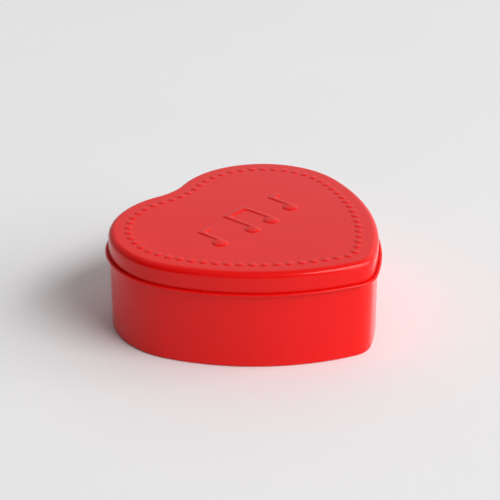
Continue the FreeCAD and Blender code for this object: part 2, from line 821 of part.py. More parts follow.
def cylinder_pinion():
    width = crown_outer - crown_inner
    add = crown_addendum / crown_module
    wheel = gear(pinion_teeth, crown_module, width, cylinder_shaft_radius, 0.36, add, 1.2)
    return onto_x(wheel, barrel_x + crown_inner, axis_y, axis_z, -90)


def cylinder_wheel():
    toward = math.degrees(math.atan2(second_z - axis_z, second_y - axis_y))
    wheel = gear(wheel_teeth, wheel_module, wheel_thick, cylinder_shaft_radius, 0.4)
    return onto_x(wheel, wheel_x, axis_y, axis_z, toward)


def cylinder_drum():
    """Brass tube with raised pins; the pattern of pins is a plain repeating formula."""
    tube = rod(drum_radius, Vector(drum_x, axis_y, axis_z), drum_length, X_AXIS)
    tube = tube.cut(rod(drum_radius - drum_wall, Vector(drum_x - cut_over, axis_y, axis_z),
                        drum_length + 2 * cut_over, X_AXIS))
    pins = []
    steps = 36
    for row in range(comb_teeth):
        x = comb_left() + (row + 0.5) * comb_pitch
        for beat in range(5):
            angle = 2 * math.pi * ((row * 7 + beat * (5 + row % 4)) % steps) / steps
            out = Vector(0, math.cos(angle), math.sin(angle))
            start = Vector(x, axis_y, axis_z) + out * (drum_radius - drum_wall / 2)
            pins.append((round(angle, 4), x, rod(pin_radius, start, pin_height + drum_wall / 2, out)))
    unique = {(angle, x): pin for angle, x, pin in pins}
    return tube.multiFuse(list(unique.values()))


def cylinder_end_caps():
    caps = []
    for x in (drum_x, drum_x + drum_length - end_cap_thick):
        disc = rod(drum_radius - drum_wall - press_gap, Vector(x, axis_y, axis_z), end_cap_thick, X_AXIS)
        length = end_cap_thick + 2 * cut_over
        caps.append(disc.cut(rod(cylinder_shaft_radius, Vector(x - cut_over, axis_y, axis_z),
                                 length, X_AXIS)))
    return caps


# Movement: comb

def comb():
    """Steel comb: tuned teeth of falling length on a thick bar, tips just clear of the pins."""
    left = comb_left()
    width = comb_teeth * comb_pitch
    front = comb_bar_front()
    bar = block(left, left + width, front, front + comb_bar_depth, axis_z - comb_bar_thick, axis_z)
    plate = block(left, left + width, front + comb_bar_depth - cut_over, comb_back(),
                  axis_z - tooth_thick, axis_z)
    solid = bar.fuse(plate).removeSplitter()
    step = (comb_tooth_long - comb_tooth_short) / (comb_teeth - 1)
    for i in range(1, comb_teeth):
        x = left + i * comb_pitch
        length = comb_tooth_long - (i - 0.5) * step
        slit = block(x - comb_slit / 2, x + comb_slit / 2, comb_back() - length, comb_back() + 1,
                     axis_z - tooth_thick - 2, axis_z + cut_over)
        solid = solid.cut(slit)
    return bored(solid, comb_screw_places(), comb_screw[0] + screw_clearance,
                 axis_z - comb_bar_thick - cut_over, axis_z + cut_over)


def comb_screws():
    length = comb_bar_thick + comb_thread
    return [screw(comb_screw, Vector(x, y, axis_z), length) for x, y in comb_screw_places()]


# Movement: governor

def second_arbor():
    start = wheel_x - end_float
    return rod(arbor2_radius, Vector(start, second_y, second_z),
               far_cheek_x + cheek_thick + end_float - start, X_AXIS)


def second_pinion():
    toward = math.degrees(math.atan2(axis_z - second_z, axis_y - second_y))
    wheel = gear(second_teeth, wheel_module, wheel_thick, arbor2_radius, 0.36, 0.8, 1.15)
    return onto_x(wheel, wheel_x, second_y, second_z, toward + 180 / second_teeth)


def worm_wheel():
    wheel = gear(worm_wheel_teeth, worm_module, worm_wheel_thick, arbor2_radius, 0.36, 0.8, 1.15)
    return onto_x(wheel, worm_x - worm_wheel_thick / 2, second_y, second_z, 0)


def worm_shaft():
    """Endless screw: a right-hand thread whose gap faces the wheel's tooth at the wheel's height."""
    low, high = 0.27 * worm_lead, 0.11 * worm_lead
    inside = 0.85 * worm_root
    outline = [Vector(inside, 0, -low), Vector(worm_tip, 0, -high), Vector(worm_tip, 0, high),
               Vector(inside, 0, low)]
    section = Part.makePolygon(outline + outline[:1])
    path = Part.makeHelix(worm_lead, worm_lead * worm_turns, worm_pitch_radius)
    thread = Part.Wire(path.Edges).makePipeShell([section], True, True)
    thread.translate(Vector(worm_x, worm_y, worm_start))
    bottom = panel_top + 2 * foot_pivot_thick + shaft_clearance
    shaft = rod(worm_shaft_radius, Vector(worm_x, worm_y, bottom), fly_top + spindle_rise - bottom)
    core_low = worm_start - worm_runout
    core = rod(worm_root, Vector(worm_x, worm_y, core_low), worm_end - core_low)
    return core.fuse(thread).fuse(shaft)


def fly_hub():
    hub = rod(fly_hub_radius, Vector(worm_x, worm_y, fly_bottom), fly_height)
    hub = hub.cut(rod(worm_shaft_radius, Vector(worm_x, worm_y, fly_bottom - 1), fly_height + 2))
    for side in (-1, 1):
        x0, x1 = sorted((worm_x + side * (fly_hub_radius - fly_slot_depth),
                         worm_x + side * 2 * fly_hub_radius))
        hub = hub.cut(block(x0, x1, worm_y - fly_thick / 2, worm_y + fly_thick / 2,
                            fly_bottom - cut_over, fly_top + cut_over))
    return hub


def fly_blades():
    """Two thin wings, each let into a slot of the hub."""
    blades = []
    for side in (-1, 1):
        root = fly_hub_radius - fly_slot_depth + press_gap
        x0, x1 = sorted((worm_x + side * root, worm_x + side * fly_reach))
        half = fly_thick / 2 - press_gap
        blade = block(x0, x1, worm_y - half, worm_y + half, fly_bottom, fly_top)
        outer_x = worm_x + side * fly_reach
        across = [e for e in blade.Edges if abs(e.BoundBox.YLength - 2 * half) < 1e-6]
        corners = [e for e in across if abs(e.BoundBox.XMin - outer_x) < 1e-6]
        blades.append(blade.makeFillet(fly_corner, corners))
    return blades


# Stop that the lid presses

def plunger_post():
    """Upright post on the bedplate with the bore that guides the plunger."""
    place = Vector(plunger_x, plunger_y, plate_top)
    height = arm_bottom - stop_spring_room - plate_top
    post = rod(post_radius, place, height)
    x, y = post_screw_place()
    half = foot_length / 2
    flange = foot(x - half, x + half, y - half, plunger_y)
    post = post.fuse(flange).removeSplitter()
    post = post.cut(rod(plunger_radius + shaft_clearance, place + Vector(0, 0, cheek_thick), height))
    return bored(post, [(x, y)], frame_screw[0] + screw_clearance, plate_top - cut_over,
                 plate_top + cheek_thick + cut_over)


def stop_plunger():
    bottom = plate_top + plunger_tail
    stem = rod(plunger_radius, Vector(plunger_x, plunger_y, bottom), plunger_top - bottom)
    stem = stem.makeFillet(plunger_tip_round, edges_at(stem, plunger_top))
    front, back = plunger_y - arm_half, plunger_y + arm_half
    arm = block(worm_x, plunger_x, front, back, arm_bottom, arm_bottom + arm_thick)
    end = rod(arm_half, Vector(worm_x, worm_y, arm_bottom), arm_thick)
    return stem.fuse([arm, end]).removeSplitter()


def brake_pad():
    return rod(pad_radius, Vector(worm_x, worm_y, pad_bottom), pad_thick)


def stop_spring():
    """Coil that lifts the plunger when the lid comes off; stands on the post, under the arm."""
    floor = arm_bottom - stop_spring_room
    room = stop_spring_room - 2 * stop_wire - 2 * shaft_clearance
    pitch = room / stop_turns
    place = Vector(plunger_x, plunger_y, floor + stop_wire + shaft_clearance)
    return coil(plunger_radius + stop_spring_gap + stop_wire, stop_wire, pitch, stop_turns, place)


NODES = {
    "tin_body": tin_body,
    "lid": lid,
    "inner_tray": inner_tray,
    "well_lining": well_lining,
    "clear_cover": clear_cover,
    "cover_screws": cover_screws,
    "movement_screws": movement_screws,
    "bedplate": bedplate,
    "cylinder_bracket": cylinder_bracket,
    "bracket_screws": lambda: foot_screws(bracket_screw_places(), plate_top + cheek_thick),
    "barrel_bridge": barrel_bridge,
    "bridge_screws": lambda: foot_screws(bridge_screw_places(), plate_top + cheek_thick),
    "governor_frame": governor_frame,
    "governor_screws": lambda: foot_screws(governor_screw_places(), plate_top + cheek_thick),
    "arbor_bushes": arbor_bushes,
    "cylinder_bushes": cylinder_bushes,
    "governor_bushes": governor_bushes,
    "barrel_cup": barrel_cup,
    "barrel_crown_gear": barrel_crown_gear,
    "mainspring": mainspring,
    "winding_arbor": winding_arbor,
    "winding_key": winding_key,
    "click_spring": click_spring,
    "cylinder_shaft": cylinder_shaft,
    "cylinder_pinion": cylinder_pinion,
    "cylinder_wheel": cylinder_wheel,
    "cylinder_drum": cylinder_drum,
    "cylinder_end_caps": cylinder_end_caps,
    "comb": comb,
    "comb_screws": comb_screws,
    "second_arbor": second_arbor,
    "second_pinion": second_pinion,
    "worm_wheel": worm_wheel,
    "worm_shaft": worm_shaft,
    "fly_hub": fly_hub,
    "fly_blades": fly_blades,
    "plunger_post": plunger_post,
    "post_screw": lambda: foot_screws([post_screw_place()], plate_top + cheek_thick),
    "stop_plunger": stop_plunger,
    "brake_pad": brake_pad,
    "stop_spring": stop_spring,
}


def main():
    os.makedirs("parts", exist_ok=True)
    for name, make in NODES.items():
        shape = make()
        solids = shape if isinstance(shape, list) else shape.Solids
        whole = solids[0] if len(solids) == 1 else Part.makeCompound(solids)
        whole.exportStep(f"parts/{name}.step")
        state = "valid" if whole.isValid() else "NOT VALID"
        print(name, len(solids), "solid(s)", state, round(whole.Volume, 2))


main()
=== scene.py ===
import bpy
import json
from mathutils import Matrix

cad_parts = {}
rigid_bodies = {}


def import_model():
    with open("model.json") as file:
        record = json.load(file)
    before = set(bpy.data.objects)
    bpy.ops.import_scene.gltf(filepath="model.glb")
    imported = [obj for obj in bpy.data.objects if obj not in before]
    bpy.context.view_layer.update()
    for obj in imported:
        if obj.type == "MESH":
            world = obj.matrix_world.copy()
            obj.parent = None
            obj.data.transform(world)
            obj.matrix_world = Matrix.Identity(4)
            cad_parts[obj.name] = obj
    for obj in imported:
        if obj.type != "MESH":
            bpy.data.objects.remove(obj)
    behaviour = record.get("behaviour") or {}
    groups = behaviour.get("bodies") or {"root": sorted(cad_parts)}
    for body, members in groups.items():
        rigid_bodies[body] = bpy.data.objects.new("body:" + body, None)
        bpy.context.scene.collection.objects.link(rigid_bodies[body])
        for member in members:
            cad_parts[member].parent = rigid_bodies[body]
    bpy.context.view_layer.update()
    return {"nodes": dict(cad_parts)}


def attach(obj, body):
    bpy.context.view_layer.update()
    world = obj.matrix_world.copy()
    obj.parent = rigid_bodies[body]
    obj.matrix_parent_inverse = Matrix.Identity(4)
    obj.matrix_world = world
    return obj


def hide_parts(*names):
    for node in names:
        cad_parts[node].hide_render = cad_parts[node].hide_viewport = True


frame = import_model()

import json
import math

import bmesh
import bpy
from bpy.props import FloatProperty, FloatVectorProperty, IntProperty, PointerProperty
from bpy.types import Operator, Panel, PropertyGroup
from mathutils import Vector

bl_info = {
    "name": "Heart tin music box",
    "version": (1, 0, 0),
    "blender": (4, 5, 0),
    "location": "3D View > Sidebar > Music Box",
    "description": "Dresses a heart-shaped tin music box and sets it on a plain stage",
    "category": "Object",
}

MM = 0.001
NEAR = 0.01 * MM


def linear(code):
    """sRGB hex to the linear RGB that shaders take."""
    channels = [int(code[i:i + 2], 16) / 255 for i in (1, 3, 5)]
    return tuple(c / 12.92 if c <= 0.04045 else ((c + 0.055) / 1.055) ** 2.4 for c in channels)


def length_of(name, description, millimetres):
    return FloatProperty(name=name, description=description, default=millimetres * MM,
                         unit="LENGTH", precision=5)


def colour_of(name, description, code):
    return FloatVectorProperty(name=name, description=description, default=linear(code), subtype="COLOR",
                               size=3, min=0, max=1)


class MusicBoxSizes(PropertyGroup):
    """Sizes of the pieces that are modelled here"""
    heart_width: length_of("Heart width", "Body across both lobes", 118)
    lobe_radius: length_of("Lobe radius", "Round of each lobe", 38.9)
    tip_radius: length_of("Tip radius", "Round of the tip", 11.2)
    tip_to_lobe: length_of("Tip to lobe", "Along the heart, between the centres of tip and lobes", 61.2)
    flank_radius: length_of("Flank radius", "Bow of each side", 100.5)
    notch_radius: length_of("Notch radius", "Hollow between the lobes", 28.6)
    sheet: length_of("Sheet", "Tinplate thickness", 0.3)
    body_height: length_of("Body height", "Floor to the body's rolled rim", 40.9)
    bottom_radius: length_of("Bottom radius", "Drawn edge at the foot", 1.0)
    neck_step: length_of("Neck step", "How far the wall under the lid is set in", 0.3)
    neck_gap: length_of("Neck gap", "Between the lid's roll and the shoulder below it", 0.1)
    rim_radius: length_of("Rim radius", "Body's inward roll", 0.7)
    foot_width: length_of("Foot width", "Ring that the tin stands on", 8)
    panel_rise: length_of("Panel rise", "How far the floor panel is set up", 1)
    panel_bend: length_of("Panel bend", "Round of the bends at the panel's edge", 0.3)
    lid_top: length_of("Lid top", "Floor to the flat of the lid", 42.9)
    lid_gap: length_of("Lid gap", "Clearance of the lid round the body", 0.2)
    lid_edge: length_of("Lid edge", "Round between the lid's top and skirt", 2.8)
    curl_radius: length_of("Curl radius", "Half the width of the lid's outward roll", 0.62)
    curl_rise: length_of("Curl rise", "Half the height of the lid's outward roll", 0.52)
    curl_gap: length_of("Curl gap", "Slot between the roll's edge and the skirt", 0.33)
    curl_height: length_of("Curl height", "Floor to the middle of the lid's roll", 33.6)
    bead_inset: length_of("Bead inset", "From the body's outline in to the row of beads", 7.9)
    bead_radius: length_of("Bead radius", "Each pressed bead, with its soft foot", 1.95)
    bead_height: length_of("Bead height", "How far a bead stands up", 0.32)
    bead_count: IntProperty(name="Beads", description="Pressed beads round the lid", default=62, min=8)
    note_head: length_of("Note head", "Round of a pressed note's head", 3.7)
    note_stroke: length_of("Note stroke", "Width of a pressed note's stem", 3.0)
    note_relief: length_of("Note relief", "How far the notes stand up", 0.45)
    note_corner: length_of("Note corner", "Round of a note's corners", 1.6)
    note_beam: length_of("Note beam", "Depth of the beam and of the flags", 3.8)
    note_centre: length_of("Note centre", "Middle of the notes, from the heart's middle to its notch", 8)
    pair_gap: length_of("Pair gap", "Between the stems of the beamed pair", 12)
    pair_stem: length_of("Pair stem", "From the pair's heads up to the top of the beam", 18.4)
    single_stem: length_of("Single stem", "From a single note's head up to its top", 14.4)
    single_flag: length_of("Single flag", "Reach of a single note's flag, with its stem", 7.3)
    single_aside: length_of("Single aside", "From the middle out to each single note's stem", 23)
    felt_grid: length_of("Felt grid", "Mesh grid of the felt", 0.4)
    felt_tuft: length_of("Felt tuft", "Width of the felt's tufts", 1.2)
    felt_nap: length_of("Felt nap", "How far the tufts stand up", 0.12)
    outline_step: length_of("Outline step", "Longest mesh edge along the outline", 1.2)


class MusicBoxColours(PropertyGroup):
    """Colours that several materials or the whole look hang on"""
    lacquer: colour_of("Lacquer", "Red of the tin", "#EE110E")
    moulding: colour_of("Moulding", "Inner tray", "#E6DAC4")
    felt: colour_of("Felt", "Lining of the well", "#7A1218")
    brass: colour_of("Brass", "Wheels, barrel and cylinder", "#D9B36A")
    steel: colour_of("Steel", "Plates, comb and shafts", "#C4C4C2")
    floor: colour_of("Floor", "Surface and backdrop", "#F6F6F7")


def sizes():
    return bpy.context.scene.music_box_sizes


def colours():
    return bpy.context.scene.music_box_colours


# Outline of the heart, the same tangent arcs as the solid

def heart_arcs(s, offset=0.0):
    """Centre, radius, start and end angle of each arc, from the tip's left end round."""
    lobe_x = s.heart_width / 2 - s.lobe_radius
    tip = Vector((0, s.tip_radius - (s.tip_radius + s.tip_to_lobe + s.lobe_radius) / 2, 0))
    lobe = Vector((lobe_x, tip.y + s.tip_to_lobe, 0))
    reach_tip = s.flank_radius - s.tip_radius
    reach_lobe = s.flank_radius - s.lobe_radius
    span = lobe - tip
    along = (reach_tip ** 2 - reach_lobe ** 2 + span.length ** 2) / (2 * span.length)
    aside = math.sqrt(reach_tip ** 2 - along ** 2)
    unit = span.normalized()
    flank = tip + unit * along - Vector((unit.y, -unit.x, 0)) * aside
    notch = Vector((0, lobe.y + math.sqrt((s.notch_radius + s.lobe_radius) ** 2 - lobe_x ** 2), 0))
    low = math.atan2(tip.y - flank.y, tip.x - flank.x)
    high = math.atan2(lobe.y - flank.y, lobe.x - flank.x)
    top = math.atan2(notch.y - lobe.y, notch.x - lobe.x)
    left_lobe = Vector((-lobe.x, lobe.y, 0))
    left_flank = Vector((-flank.x, flank.y, 0))
    turn = math.pi
    return [
        (tip, s.tip_radius + offset, -turn - low, low),
        (flank, s.flank_radius + offset, low, high),
        (lobe, s.lobe_radius + offset, high, top),
        (notch, s.notch_radius - offset, top + turn, 2 * turn - top),
        (left_lobe, s.lobe_radius + offset, turn - top, turn - high),
        (left_flank, s.flank_radius + offset, turn - high, turn - low),
    ]


def on_arc(arc, share):
    """Point at a share of the way along an arc."""
    centre, radius, start, end = arc
    angle = start + (end - start) * share
    return centre + Vector((math.cos(angle), math.sin(angle), 0)) * radius


def places_round_heart(s, offset, count):
    """Evenly spaced points on the outline; the first two straddle the tip."""
    arcs = heart_arcs(s, offset)
    lengths = [arc[1] * abs(arc[3] - arc[2]) for arc in arcs]
    places = []
    for i in range(count):
        left = (lengths[0] / 2 + (i + 0.5) * sum(lengths) / count) % sum(lengths)
        k = 0
        while left > lengths[k]:
            left -= lengths[k]
            k += 1
        places.append(on_arc(arcs[k], left / lengths[k]))
    return places


def arc_points(centre, radius, start, end, steps):
    """Points of a profile's arc, as (out, up) pairs; angles in degrees."""
    turn = [math.radians(start + (end - start) * i / steps) for i in range(steps + 1)]
    return [(centre[0] + radius * math.cos(a), centre[1] + radius * math.sin(a)) for a in turn]


# Modelling steps that several pieces share

def begin(name):
    """A new object at the origin, in edit mode, holding one selected vertex."""
    bpy.ops.object.select_all(action="DESELECT")
    bpy.ops.mesh.primitive_plane_add(size=MM)
    piece = bpy.context.object
    piece.name = piece.data.name = name
    bpy.ops.object.mode_set(mode="EDIT")
    bpy.ops.mesh.merge(type="CENTER")
    return piece


def draw(points):
    """Moves the selected vertex at the origin to the first point and extrudes it along the rest."""
    bpy.ops.transform.translate(value=points[0])
    for here, there in zip(points, points[1:]):
        bpy.ops.mesh.extrude_region_move(TRANSFORM_OT_translate={"value": there - here})


def spin_profile_round_heart(s, profile):
    """Draws a profile of (out, up) pairs at the tip and spins it round each arc in turn."""
    centre, radius, start, _ = heart_arcs(s)[0]
    out = Vector((math.cos(start), math.sin(start), 0))
    draw([centre + out * (radius + x) + Vector((0, 0, z)) for x, z in profile])
    bpy.ops.mesh.select_all(action="SELECT")
    for centre, radius, start, end in heart_arcs(s):
        steps = max(10, math.ceil(radius * abs(end - start) / s.outline_step))
        bpy.ops.mesh.spin(steps=steps, angle=start - end, center=centre, axis=(0, 0, 1))
    bpy.ops.mesh.select_all(action="SELECT")
    bpy.ops.mesh.remove_doubles(threshold=0.003 * MM)


def select_open_edges(piece, z):
    """The open edges that lie at one height."""
    mesh = bmesh.from_edit_mesh(piece.data)
    bpy.ops.mesh.select_mode(type="EDGE")
    bpy.ops.mesh.select_all(action="DESELECT")
    for edge in mesh.edges:
        edge.select_set(edge.is_boundary and all(abs(v.co.z - z) < NEAR for v in edge.verts))
    bmesh.update_edit_mesh(piece.data)


def finish_piece(piece, body, material, node, sharp=40):
    """Ends edit mode, smooths edges below an angle, gives the piece its material, parents it to the body it
    rides on and hides the CAD node it stands in for.
    """
    bpy.ops.mesh.select_mode(type="VERT")
    bpy.ops.mesh.select_all(action="SELECT")
    bpy.ops.mesh.normals_make_consistent(inside=False)
    bpy.ops.object.mode_set(mode="OBJECT")
    bpy.ops.object.shade_smooth_by_angle(angle=math.radians(sharp))
    piece.data.materials.append(material)
    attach(piece, body)
    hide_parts(node)


def dress(names, material):
    """Gives a material to CAD nodes that keep their own shape."""
    for name in names:
        for holder in frame["nodes"][name].material_slots:
            holder.material = material


# Materials

def add(tree, kind, inputs=None, **settings):
    """Adds a node with its settings; an input is a value or another node's output."""
    node = tree.nodes.new(kind)
    for name, value in settings.items():
        setattr(node, name, value)
    for name, value in (inputs or {}).items():
        if isinstance(value, bpy.types.NodeSocket):
            tree.links.new(value, node.inputs[name])
        else:
            node.inputs[name].default_value = value
    return node


def blank_material(name):
    """A material with a bare principled shader, and its tree and coordinates."""
    material = bpy.data.materials.new(name)
    material.use_nodes = True
    tree = material.node_tree
    shader = tree.nodes["Principled BSDF"]
    coordinates = add(tree, "ShaderNodeTexCoord").outputs["Object"]
    return material, tree, shader, coordinates


def per(millimetres):
    """Texture scale that gives features of this size, since coordinates are in metres."""
    return 1 / (millimetres * MM)


def tint(colour, factor):
    """A lighter or darker shade, as the RGBA that a socket takes."""
    return tuple(min(1, c * factor) for c in colour) + (1,)


def vary(tree, shader, source, colour, shades, rough):
    """Lets a pattern move the colour between two shades and the roughness between two values."""
    low, high = shades
    mix = add(tree, "ShaderNodeMix", {"Factor": source, "A": tint(colour, low), "B": tint(colour, high)},
              data_type="RGBA")
    tree.links.new(mix.outputs["Result"], shader.inputs["Base Color"])
    spread = add(tree, "ShaderNodeMapRange", {"Value": source, "To Min": rough[0], "To Max": rough[1]})
    tree.links.new(spread.outputs["Result"], shader.inputs["Roughness"])


def roughen(tree, shader, source, depth, strength):
    """Turns a pattern into relief of a depth in millimetres."""
    bump = add(tree, "ShaderNodeBump", {"Height": source, "Distance": depth * MM, "Strength": strength})
    tree.links.new(bump.outputs["Normal"], shader.inputs["Normal"])


def red_stove_lacquer():
    """Satin stove lacquer on tinplate: even red, soft highlights, a faint orange peel.
    The peel is drawn at 0.8 mm, coarser than the real one, so that it shows."""
    material, tree, shader, at = blank_material("Red stove lacquer on tinplate")
    cloud = add(tree, "ShaderNodeTexNoise", {"Vector": at, "Scale": per(30), "Detail": 2.0})
    vary(tree, shader, cloud.outputs["Fac"], colours().lacquer, shades=(0.96, 1.04), rough=(0.14, 0.22))
    peel = add(tree, "ShaderNodeTexNoise", {"Vector": at, "Scale": per(0.8), "Detail": 1.0})
    roughen(tree, shader, peel.outputs["Fac"], depth=0.004, strength=0.35)
    shader.inputs["IOR"].default_value = 1.34
    return material


def ivory_moulding():
    """Injection-moulded polystyrene with a fine spark-eroded grain: matt, a little uneven."""
    material, tree, shader, at = blank_material("Ivory moulded polystyrene")
    grain = add(tree, "ShaderNodeTexNoise", {"Vector": at, "Scale": per(0.5), "Detail": 3.0})
    vary(tree, shader, grain.outputs["Fac"], colours().moulding, shades=(0.94, 1.04), rough=(0.42, 0.6))
    roughen(tree, shader, grain.outputs["Fac"], depth=0.03, strength=0.5)
    return material


def wool_felt():
    """Pressed wool felt: no gloss, a pale sheen at the edges, tangled short fibres of about 1 mm."""
    material, tree, shader, at = blank_material("Pressed wool felt")
    stretch = add(tree, "ShaderNodeMapping", {"Vector": at, "Scale": (1, 3, 3),
                                              "Rotation": (0, 0, 0.6)})
    fibre = add(tree, "ShaderNodeTexNoise", {"Vector": stretch.outputs["Vector"], "Scale": per(1.0),
                                             "Detail": 6.0, "Distortion": 1.5})
    vary(tree, shader, fibre.outputs["Fac"], colours().felt, shades=(0.55, 1.5), rough=(0.85, 1.0))
    roughen(tree, shader, fibre.outputs["Fac"], depth=0.15, strength=1.0)
    shader.inputs["Sheen Weight"].default_value = 0.5
    shader.inputs["Sheen Roughness"].default_value = 0.6
    return material


def clear_acrylic():
    """Cast acrylic sheet: clear, polished, with faint rub marks that catch the light."""
    material, tree, shader, at = blank_material("Clear cast acrylic")
    stretch = add(tree, "ShaderNodeMapping", {"Vector": at, "Scale": (1, 12, 1),
                                              "Rotation": (0, 0, 0.4)})
    rub = add(tree, "ShaderNodeTexNoise", {"Vector": stretch.outputs["Vector"], "Scale": per(4.0),
                                           "Detail": 3.0})
    spread = add(tree, "ShaderNodeMapRange", {"Value": rub.outputs["Fac"], "From Min": 0.6,
                                              "To Max": 0.03})
    tree.links.new(spread.outputs["Result"], shader.inputs["Roughness"])
    shader.inputs["Base Color"].default_value = linear("#F6FBFC") + (1,)
    shader.inputs["Transmission Weight"].default_value = 1.0
    shader.inputs["IOR"].default_value = 1.49
    shader.inputs["Alpha"].default_value = 0.2
    return material


def metal(name, colour, shades, rough, grain, depth, squeeze=(1, 1, 1)):
    """A bare metal with tool marks: noise, its grain and depth in millimetres, squeezed along some axes."""
    material, tree, shader, at = blank_material(name)
    lay = add(tree, "ShaderNodeMapping", {"Vector": at, "Scale": squeeze})
    marks = add(tree, "ShaderNodeTexNoise", {"Vector": lay.outputs["Vector"], "Scale": per(grain),
                                             "Detail": 4.0})
    vary(tree, shader, marks.outputs["Fac"], colour, shades, rough)
    roughen(tree, shader, marks.outputs["Fac"], depth, strength=0.5)
    shader.inputs["Metallic"].default_value = 1.0
    return material


def turned_brass():
    """Lathe-turned brass: rings round the work, drawn at 0.3 mm so that they show."""
    return metal("Turned brass", colours().brass, shades=(0.8, 1.08), rough=(0.2, 0.36),
                 grain=0.3, depth=0.004, squeeze=(6, 1, 1))


def polished_brass():
    """Pressed and tumbled brass: bright, with soft wear a few millimetres wide."""
    return metal("Tumbled brass", colours().brass, shades=(0.88, 1.1), rough=(0.14, 0.3),
                 grain=3.0, depth=0.01)


def plated_steel():
    """Nickel-plated pressed steel: pale, finely brushed along the strip."""
    return metal("Nickel plated steel", colours().steel, shades=(0.85, 1.05), rough=(0.24, 0.4),
                 grain=0.25, depth=0.003, squeeze=(1, 8, 8))


def ground_steel():
    """Surface-ground spring steel: close straight grinding lines across the comb."""
    return metal("Ground spring steel", colours().steel, shades=(0.75, 1.0), rough=(0.22, 0.42),
                 grain=0.2, depth=0.004, squeeze=(10, 1, 1))


def turned_steel():
    """Turned bright steel: fine rings, darker than plate."""
    return metal("Turned bright steel", linear("#A6A6A6"), shades=(0.8, 1.05), rough=(0.2, 0.34),
                 grain=0.25, depth=0.003, squeeze=(6, 1, 1))


def zinc_screw_steel():
    """Zinc-plated screw steel: slightly cloudy grey with a soft shine."""
    return metal("Zinc plated screw steel", linear("#B7B9BC"), shades=(0.8, 1.05), rough=(0.26, 0.46),
                 grain=0.6, depth=0.01)


def blued_steel():
    """Tempered spring steel: straw to blue heat colours that drift over a few millimetres."""
    return metal("Blued spring steel", linear("#3C4A70"), shades=(0.7, 1.4), rough=(0.22, 0.36),
                 grain=2.5, depth=0.004)


def gold_lacquered_casting():
    """Zinc die casting under gold lacquer: warm metal with the casting's shallow mottle."""
    return metal("Gold lacquered die casting", linear("#C79A4B"), shades=(0.85, 1.1), rough=(0.32, 0.5),
                 grain=1.2, depth=0.02)


def black_moulding():
    """Thin black polyacetal: dark, slightly waxy, with faint flow marks."""
    material, tree, shader, at = blank_material("Black moulded polyacetal")
    flow = add(tree, "ShaderNodeTexNoise", {"Vector": at, "Scale": per(1.5), "Detail": 3.0,
                                            "Distortion": 0.8})
    vary(tree, shader, flow.outputs["Fac"], linear("#1A1A1B"), shades=(0.7, 1.5), rough=(0.3, 0.48))
    roughen(tree, shader, flow.outputs["Fac"], depth=0.01, strength=0.4)
    return material


def grey_rubber():
    """Moulded rubber tip: dark grey, matt, with a fine dusty mottle."""
    material, tree, shader, at = blank_material("Grey moulded rubber")
    dust = add(tree, "ShaderNodeTexNoise", {"Vector": at, "Scale": per(0.4), "Detail": 4.0})
    vary(tree, shader, dust.outputs["Fac"], linear("#3A3A3C"), shades=(0.7, 1.3), rough=(0.7, 0.9))
    roughen(tree, shader, dust.outputs["Fac"], depth=0.02, strength=0.5)
    return material


def seamless_paper():
    """Pale paper sweep: matt, with an almost invisible cloudiness."""
    material, tree, shader, at = blank_material("Pale paper sweep")
    cloud = add(tree, "ShaderNodeTexNoise", {"Vector": at, "Scale": per(120), "Detail": 2.0})
    vary(tree, shader, cloud.outputs["Fac"], colours().floor, shades=(0.985, 1.015), rough=(0.85, 0.95))
    shader.inputs["Specular IOR Level"].default_value = 0.1
    return material


# Pieces

class MUSICBOX_OT_body(Operator):
    """Model the drawn tin body with its foot, rolled rim and set-up floor"""
    bl_idname = "musicbox.body"
    bl_label = "Tin body"

    def execute(self, context):
        s = sizes()
        sheet, foot, rise, bend = s.sheet, s.foot_width, s.panel_rise, s.panel_bend
        rim, step = s.rim_radius, s.neck_step
        rim_z = s.body_height - rim
        shoulder = s.curl_height - s.curl_rise - s.neck_gap
        under = shoulder - (math.sqrt(2) - 1) * sheet
        corner = (step - s.bottom_radius, s.bottom_radius)
        # Edges a little above the foot, which keep the shading of its round off the flat wall
        low_outside, low_inside = 6 * s.bottom_radius, 3 * s.bottom_radius
        # Outside, from the floor panel over the foot, up the wall and the neck, and round the rim
        profile = [(-foot - 3 * bend, rise), (-foot - bend, rise)]
        profile += arc_points((-foot - bend, rise - bend), bend, 90, 0, 3)[1:]
        profile += arc_points((-foot + bend, bend), bend, 180, 270, 3)
        profile += [(corner[0] - bend, 0)]
        profile += arc_points(corner, s.bottom_radius, -90, 0, 6)
        profile += [(step, low_outside), (step, shoulder - 2 * step), (step, shoulder - step)]
        profile += [(0, shoulder), (0, shoulder + step), (0, rim_z - step)]
        profile += arc_points((-rim, rim_z), rim, 0, 300, 18)
        # Inside, back down to the panel
        profile += [(-sheet, rim_z - 1.4 * rim), (-sheet, under), (step - sheet, under - step)]
        profile += [(step - sheet, low_inside)]
        profile += arc_points(corner, s.bottom_radius - sheet, 0, -90, 5)
        profile += [(-foot + sheet + 3 * bend, sheet)]
        profile += arc_points((-foot + sheet + bend, sheet + bend), bend, -90, -180, 3)
        profile += arc_points((-foot + sheet - bend, rise + sheet - bend), bend, 0, 90, 3)
        profile += [(-foot - 3 * bend, rise + sheet)]
        piece = begin("drawn_tin_body")
        spin_profile_round_heart(s, profile)
        for z in (rise, rise + sheet):
            select_open_edges(piece, z)
            bpy.ops.mesh.edge_face_add()
        finish_piece(piece, "case", red_stove_lacquer(), "tin_body")
        return {"FINISHED"}


